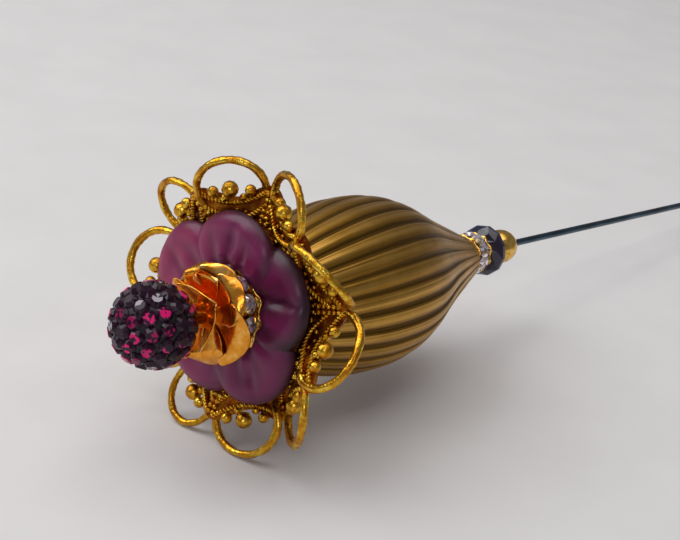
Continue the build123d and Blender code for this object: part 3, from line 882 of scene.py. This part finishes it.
def make_rondelle(end, body, rondelles, stones, core_r, plate, wave, hole_r, inset, gap, crown, depth, seed):
    """The front or the rear rondelle: its wavy frame and the cut stones in its bays."""
    node = f"{end}_rondelle_frame"
    front, back, rim_r = span(node)
    mesh = scalloped_frame(node, core_r, stones, plate, wave, hole_r)
    place(f"{end}_rondelle_scalloped_frame", mesh, body, node, bright_gold_plate(rondelles))
    seats = radial_seats((front + back) / 2, rim_r - inset, stones, (back - front) / 2 - gap)
    stone = cut_stone(0.55, crown, depth)
    mesh = set_on_seats(seats, stone, foiled_clear_crystal(), spin=0.5, seed=seed)
    place(f"{end}_rondelle_stones", mesh, body, f"{end}_rondelle_crystals")


class HATPIN_OT_front_rondelle(Operator):
    """Make the front rondelle's wavy frame and set its clear stones"""
    bl_idname = "hatpin.front_rondelle"
    bl_label = "Front rondelle"

    def execute(self, context):
        rondelles = context.scene.hatpin_rondelles
        make_rondelle(
            "front", "head_and_stem", rondelles, rondelles.front_stones, core_r=3.6, plate=0.36, wave=0.55,
            hole_r=0.55, inset=0.7, gap=0.4, crown=0.38, depth=1.1, seed=5)
        return {"FINISHED"}


# angle, tip reach, how far the petal stands forward, tilt to one side, fold down its middle
PETALS = (
    (172, 11.3, 0.55, 0.30, 0.35), (104, 12.9, 0.0, 0.32, 0.25), (28, 12.0, 0.1, 0.32, 0.3),
    (-44, 11.7, 0.25, 0.32, 0.4), (-118, 11.5, 0.15, 0.34, 1.0),
)


class HATPIN_OT_glass_flower(Operator):
    """Press the five-petalled glass flower as one closed shell"""
    bl_idname = "hatpin.glass_flower"
    bl_label = "Glass flower"

    def execute(self, context):
        flower = context.scene.hatpin_flower
        cad_front, hub_back, rim_r = span("glass_flower")
        hub_r, bore_r, hub_s = 3.0, 0.5, 11.8
        reach, half, pillow = (x / MM for x in (flower.petal_length, flower.petal_width, flower.pillow))
        edge_s = cad_front + 2.0
        around, front_rows, back_rows = 360, 40, 12

        def heights(r, angle):
            """(place, painted light and shade) of the foremost petal at a point, or None off the flower."""
            best = None
            for number, (middle, tip, lift, tilt, fold) in enumerate(PETALS):
                swing = radians(angle - middle)
                u, v = r * cos(swing) - (tip - reach), r * sin(swing)
                e = hypot(u / reach, v / half)
                if e >= 1 and (u > 0 or r > 6.5):
                    continue
                e = min(e, 1.0)
                dome = (1 - e ** 3.2) ** 0.5 * (1 - 0.22 * exp(-((e - 0.35) / 0.3) ** 2))
                veins = 0.11 * cos((v + 0.3 * number) * 18 / r) * (1 - smooth(6, 11, r))
                dent = fold * exp(-((u - 0.4) / 3.2) ** 2 - ((v - 0.25 * u) / 0.75) ** 2)
                s = edge_s - pillow * dome - lift - tilt * v / half + veins + dent
                # painted light and shade: each pillow lit most on top, darker in its veins and dent, and the
                # deeply folded petal painted darker as a whole
                shade = dome * (1 - 0.5 * dent) - 1.6 * veins - 0.3 * fold * fold
                if best is None or s < best[0]:
                    best = (s, shade)
            return best

        def rim(angle):
            """Outer radius of the flower at an angle."""
            low, high = hub_r, rim_r + 1.0
            for _ in range(22):
                middle = (low + high) / 2
                low, high = (middle, high) if heights(middle, angle) else (low, middle)
            return min(low, rim_r)

        rims = [rim(360 * k / around) for k in range(around)]
        relief = []

        def front_point(row, column):
            share_out = 1 - (1 - row / front_rows) ** 1.6
            angle = 360 * column / around
            r = hub_r + (rims[column] - hub_r) * share_out
            found = heights(r * 0.9995, angle) or (edge_s, 0.0)
            throat = smooth(3.6, 6.4, r)
            s = hub_s * (1 - throat) + found[0] * throat
            s = max(s, cad_front - 0.25)
            # the painted light fades to painted shade towards the throat
            relief.append(found[1] * throat)
            return polar(r, angle, s)

        def back_point(row, column):
            share_in = row / back_rows
            angle = 360 * column / around
            tuck = 0.25 * smooth(0, 0.05, share_in) * (1 - share_in)
            r = rims[column] + (hub_r - rims[column]) * share_in - tuck
            s = edge_s + 0.35 + (hub_back - edge_s - 0.35) * share_in ** 1.2
            # the back of the flower is painted mostly in shade
            relief.append(0.3)
            return polar(r, angle, s)

        def skin(row, column):
            if row <= front_rows:
                return front_point(row, column)
            if row <= front_rows + back_rows:
                return back_point(row - front_rows, column)
            # the bore is painted in full shade
            relief.append(0.0)
            s = hub_back if row == front_rows + back_rows + 1 else hub_s
            return polar(bore_r, 360 * column / around, s)

        shape = Shape().lattice(front_rows + back_rows + 3, around, skin, wrap_rows=True, wrap_columns=True)
        shape.mark("relief", relief)
        mesh = shape.mesh("glass_flower", sharp=radians(70))
        glass = frosted_purple_glass(flower)
        place("glass_petals", mesh, "head_and_stem", "glass_flower", glass)
        return {"FINISHED"}


# lean forward and twist in degrees, then length and width, from 18 degrees round
LOOP_BENDS = (
    (17, 2, 0.95, 0.80), (20, -18, 0.97, 1.0), (4, 18, 1.04, 1.0), (15, -14, 0.92, 0.80),
    (32, 25, 0.92, 1.0), (15, -22, 0.96, 1.0), (44, 28, 0.82, 1.1), (16, -28, 1.0, 1.12),
    (32, 24, 1.06, 1.05), (14, -4, 0.94, 1.12),
)


class HATPIN_OT_filigree(Operator):
    """Stamp the filigree cap: dish, loops, swags of rope and clusters of grains"""
    bl_idname = "hatpin.filigree"
    bl_label = "Filigree cap"

    def execute(self, context):
        props = context.scene.hatpin_filigree
        finish = gilded_filigree(props)
        self.half_step = 180 / props.loops
        self.dish_front, self.dish_back, self.dish_r = span("filigree_dish")
        self.flat_s = self.dish_back - 0.5
        self.rise = (self.flat_s - self.dish_front) / (self.dish_r - 5.0)
        self.dish(props, finish)
        self.loops(props, finish)
        self.ropes(props, finish)
        self.grains(props, finish)
        return {"FINISHED"}

    def on_dish(self, r, angle, height=0.0):
        """Point at a height off the sloping front of the dish."""
        ruffle = -1.7 * cos(radians(5 * angle)) * smooth(7, 13.5, r)
        return polar(r, angle, self.flat_s - max(0, r - 5.0) * self.rise + ruffle - height)

    def dish(self, props, finish):
        """Sheet under the ornament: a scalloped edge and stamped ribs between the loops."""
        around, rows, sheet, bore_r = props.loops * 24, 26, 0.45, 0.5

        def edge(angle):
            wave = cos(radians(angle) * props.loops)
            return self.dish_r - 1.1 + 0.9 * wave

        def skin(row, column):
            angle = 360 * column / around
            if row < rows:
                share_out = row / (rows - 1)
            else:
                share_out = (2 * rows - 1 - row) / (rows - 1)
            r = bore_r + (edge(angle) - bore_r) * share_out
            stamped = 0.28 * cos(radians(angle) * props.loops) * smooth(8, 12, r) * (1 - smooth(12.5, 14, r))
            stamped += 0.12 * sin(2.4 * r) * smooth(7, 9, r)
            return self.on_dish(r, angle, stamped - (0 if row < rows else sheet))

        shape = Shape().lattice(2 * rows, around, skin, wrap_rows=True, wrap_columns=True)
        # the sheet is mottled at random: painted gold highlights where the mark is low, red-brown between
        # that is partly tarnish, partly painted reflection
        shape.mark("hollow", [0.62 + 0.38 * noise.noise(point * 0.9) for point in shape.points])
        mesh = shape.mesh("dish", sharp=radians(60))
        place("filigree_stamped_dish", mesh, "head_and_stem", "filigree_dish", finish)

    def loops(self, props, finish):
        """Hammered wire loops that stand out round the cap, each bent its own way."""
        wire, loop = props.wire / MM, props.loop / MM
        steps, half_sweep = 96, 112
        path = [Vector((-1.9, -3.3, 0.35))]
        for k in range(steps + 1):
            swing = radians(-half_sweep + 2 * half_sweep * k / steps)
            path.append(Vector((0.9 + loop * cos(swing), loop * sin(swing), 0)))
        path.append(Vector((-1.9, 3.3, 0.35)))
        notches = pi * loop * 1.3 / (props.notch / MM)

        def radius(at, angle):
            notch = 0.5 + 0.5 * cos(tau * notches * at)
            return wire * (1 + 0.12 * notch * (0.5 + 0.5 * cos(angle)) + 0.05 * sin(37 * at + 2 * angle))

        seats = []
        for k, (lean, twist, long, wide) in enumerate(LOOP_BENDS):
            angle = self.half_step * (2 * k + 1)
            seats.append((polar(12.9, angle, 14.0), Vector((radians(twist), radians(lean), radians(angle))),
                          Vector((long, wide, 1))))
        made = set_on_seats(seats, tube(path, radius).mesh("loop"), finish, spin=0.0)
        place("filigree_wire_loops", made, "head_and_stem", "filigree_loops")

    def ropes(self, props, finish):
        """Rope swags that hang from cluster to cluster, two deep."""
        points, edges = [], []
        for k in range(props.loops):
            middle = self.half_step * (2 * k + 1)
            for ends_r, middle_r, height in ((13.6, 11.9, 0.3), (11.9, 10.0, 0.3)):
                steps = 24
                for j in range(steps + 1):
                    across = 2 * j / steps - 1
                    r = middle_r + (ends_r - middle_r) * across * across
                    points.append(self.on_dish(r, middle + across * (self.half_step - 2.2), height))
                    if j:
                        edges.append((len(points) - 2, len(points) - 1))
        source = bpy.data.meshes.new("swags")
        source.from_pydata(points, edges, [])
        made = grown(rope_tree(), source, Pitch=0.42, Radius=0.34, Slant=radians(38), Material=finish)
        place("filigree_rope_swags", made, "head_and_stem", "filigree_rope")

    def grains(self, props, finish):
        """A large granule in each loop with one each side, and grains at the junctions."""
        grain = props.grain / MM
        seats = []
        for k in range(props.loops):
            middle = self.half_step * (2 * k + 1)
            out = polar(1, middle, 0)
            for radius, r, swing in (
                (1.02, 13.5, 0.0), (0.70, 13.4, 8.2), (0.70, 13.4, -8.2), (0.5, 12.5, 4.4), (0.5, 12.5, -4.4),
            ):
                seats.append(facing(self.on_dish(r, middle + swing, radius * 0.8), out, radius))
            for row in range(5):
                for side in (-1, 1):
                    r = 10.6 + 2.05 * grain * row
                    turn_to = middle + self.half_step + side * 360 * grain * 1.03 / (tau * r)
                    seats.append(facing(self.on_dish(r, turn_to, grain * 0.9), out, grain * 1.05))
            for row, (r, half_row) in enumerate(((9.0, 5), (9.9, 5), (10.9, 3), (12.7, 2))):
                for j in range(-half_row, half_row + 1):
                    turn_to = middle + j * 150 * grain / r
                    size = grain * (0.72 + 0.16 * cos(3 * j + row))
                    seats.append(facing(self.on_dish(r + 0.22 * cos(2 * j), turn_to, 0.12), out, size))
        made = set_on_seats(seats, grain_module(), finish, seed=2)
        place("filigree_grains", made, "head_and_stem", "filigree_granules")


class HATPIN_OT_ribbed_bead(Operator):
    """Draw the hollow brass bead with its twisted flutes"""
    bl_idname = "hatpin.ribbed_bead"
    bl_label = "Ribbed bead"

    def execute(self, context):
        bead = context.scene.hatpin_bead
        front, back, _ = span("ribbed_bead")
        points = in_stem("ribbed_bead")
        sag, stations = bead.sag / MM, 48
        bore_r = 0.55 + sag
        step = (back - front) / stations
        outline = []
        for k in range(stations + 1):
            s = front + step * k
            near = [hypot(p.x, p.y) for p in points if abs(p.z - s) < step * 0.6]
            outline.append((max(near), s))
        profile = [(bore_r, front), (outline[0][0] * 0.6, front)] + outline
        profile += [(outline[-1][0] * 0.6, back), (bore_r, back)]
        last = len(profile) - 1
        relief = []
        for k, (r, _) in enumerate(profile):
            inner = k < 2 or k > last - 2
            relief.append(0.0 if inner else 0.25 + 0.75 * smooth(3.0, 9.5, r))
        source = bpy.data.meshes.new("outline")
        source.from_pydata([(r, 0, s) for r, s in profile], [(k, k + 1) for k in range(last)], [])
        layer = source.attributes.new("relief", "FLOAT", "POINT")
        layer.data.foreach_set("value", relief)
        mesh = grown(
            flute_tree(), source, Flutes=bead.flutes, Depth=bead.depth / MM, Twist=bead.twist, Front=front,
            Length=back - front, Rows=110, Columns=bead.flutes * 18 + 1, Material=brushed_antique_brass(bead))
        mesh.transform(Matrix.Translation((sag, 0, 0)))
        place("fluted_brass_bead", outward_facing(mesh), "ribbed_bead", "ribbed_bead")
        return {"FINISHED"}


class HATPIN_OT_rear_beads(Operator):
    """Make the rear rondelle and the cut dark glass rondelle"""
    bl_idname = "hatpin.rear_beads"
    bl_label = "Rear beads"

    def execute(self, context):
        rondelles = context.scene.hatpin_rondelles
        make_rondelle(
            "rear", "rear_rondelle", rondelles, rondelles.rear_stones, core_r=1.5, plate=0.38, wave=0.3,
            hole_r=0.52, inset=0.35, gap=0.42, crown=0.35, depth=1.0, seed=4)
        self.glass(rondelles.facets)
        return {"FINISHED"}

    def glass(self, facets):
        """Rondelle of two rings of slanting facets each side of a narrow girdle."""
        front, back, rim_r = span("glass_rondelle")
        middle, girdle, bore_r = (front + back) / 2, 0.3, 0.52
        face_r, knee_r = 1.9, 3.1
        rings = (
            (bore_r, front, 0), (face_r, front, 0), (knee_r, front + 0.75, 0.5), (rim_r, middle - girdle, 0),
            (rim_r, middle + girdle, 0), (knee_r, back - 0.75, 0.5), (face_r, back, 0), (bore_r, back, 0),
        )

        def skin(row, column):
            r, s, offset = rings[row]
            return polar(r, 360 * (column + offset) / facets, s)

        shape = Shape().lattice(len(rings), facets, skin, wrap_rows=True, wrap_columns=True)
        softened = {"width": 0.05, "segments": 1, "limit_method": "ANGLE", "angle_limit": radians(12)}
        mesh = baked(shape.mesh("glass_rondelle", sharp=0), ("BEVEL", softened))
        place("cut_glass_rondelle", mesh, "glass_rondelle", "glass_rondelle", cut_dark_glass())


class HATPIN_OT_stage(Operator):
    """Lay the table, light it softly and set the camera"""
    bl_idname = "hatpin.stage"
    bl_label = "Stage"

    def execute(self, context):
        stage = context.scene.hatpin_stage
        half_side = 1.5
        shape = Shape().lattice(2, 2, lambda i, j: (half_side * (2 * i - 1), half_side * (2 * j - 1), 0))
        mesh = shape.mesh("table")
        if mesh.polygons[0].normal.z < 0:
            mesh.flip_normals()
        mesh.materials.append(pale_table(stage))
        table = bpy.data.objects.new("table", mesh)
        context.collection.objects.link(table)
        self.lights(context)
        self.camera(context, stage)
        return {"FINISHED"}

    def lights(self, context):
        world = bpy.data.worlds.new("room")
        context.scene.world = world
        world.use_nodes = True
        background = world.node_tree.nodes["Background"]
        background.inputs["Color"].default_value = (*srgb("#d6d6dc"), 1)
        background.inputs["Strength"].default_value = 0.30
        target = BALL_CENTRE + ALONG * 0.03
        # name, place from the head, size, power, tint
        for name, offset, size, power, tint in (
            ("window", (-0.36, 0.50, 0.62), 0.70, 4.3, "#ffffff"),
            ("ceiling", (0.00, 0.05, 0.92), 0.95, 3.9, "#fffaf4"),
            ("side", (-0.55, -0.35, 0.35), 0.18, 0.6, "#f4f2ff"),
        ):
            lamp = bpy.data.lights.new(name, "AREA")
            lamp.shape = "SQUARE"
            lamp.size, lamp.energy, lamp.color = size, power, srgb(tint)
            light = bpy.data.objects.new(name, lamp)
            light.location = target + Vector(offset)
            light.rotation_euler = (-Vector(offset)).to_track_quat("-Z", "Y").to_euler()
            context.collection.objects.link(light)
        context.scene.view_settings.view_transform = "Standard"

    def camera(self, context, stage):
        view = bpy.data.cameras.new("view")
        view.lens = stage.lens
        view.clip_start = 0.01
        camera = bpy.data.objects.new("view", view)
        camera.location = BALL_CENTRE + Vector(stage.distance)
        # a camera looks along -Z with +Y up: stand it upright, turn it to +X, then aim it
        aim = Matrix.Rotation(stage.heading, 3, "Z") @ Matrix.Rotation(stage.pitch, 3, "Y")
        upright = Matrix(((0, 0, -1), (-1, 0, 0), (0, 1, 0)))
        camera.rotation_euler = (aim @ upright @ Matrix.Rotation(stage.roll, 3, "Z")).to_euler()
        context.collection.objects.link(camera)
        context.scene.camera = camera


class HATPIN_PT_panel(Panel):
    bl_idname = "HATPIN_PT_panel"
    bl_label = "Hat pin"
    bl_space_type = "VIEW_3D"
    bl_region_type = "UI"
    bl_category = "Hat pin"

    def draw(self, context):
        for operator in OPERATORS:
            self.layout.operator(operator.bl_idname)
        for name in SETTINGS:
            group = getattr(context.scene, name)
            box = self.layout.box()
            for prop in group.__annotations__:
                box.prop(group, prop)


SETTINGS = {
    "hatpin_pave": HatPinPave,
    "hatpin_rose": HatPinRose,
    "hatpin_flower": HatPinFlower,
    "hatpin_filigree": HatPinFiligree,
    "hatpin_bead": HatPinBead,
    "hatpin_rondelles": HatPinRondelles,
    "hatpin_stage": HatPinStage,
}
OPERATORS = (
    HATPIN_OT_stem, HATPIN_OT_pave_ball, HATPIN_OT_rose, HATPIN_OT_front_rondelle, HATPIN_OT_glass_flower,
    HATPIN_OT_filigree, HATPIN_OT_ribbed_bead, HATPIN_OT_rear_beads, HATPIN_OT_stage,
)


def register():
    for kind in (*SETTINGS.values(), *OPERATORS, HATPIN_PT_panel):
        bpy.utils.register_class(kind)
    for name, kind in SETTINGS.items():
        setattr(bpy.types.Scene, name, PointerProperty(type=kind))


def unregister():
    for name in SETTINGS:
        delattr(bpy.types.Scene, name)
    for kind in reversed((*SETTINGS.values(), *OPERATORS, HATPIN_PT_panel)):
        bpy.utils.unregister_class(kind)


def main():
    register()
    for operator in OPERATORS:
        family, name = operator.bl_idname.split(".")
        getattr(getattr(bpy.ops, family), name)()


if __name__ == "__main__":
    main()
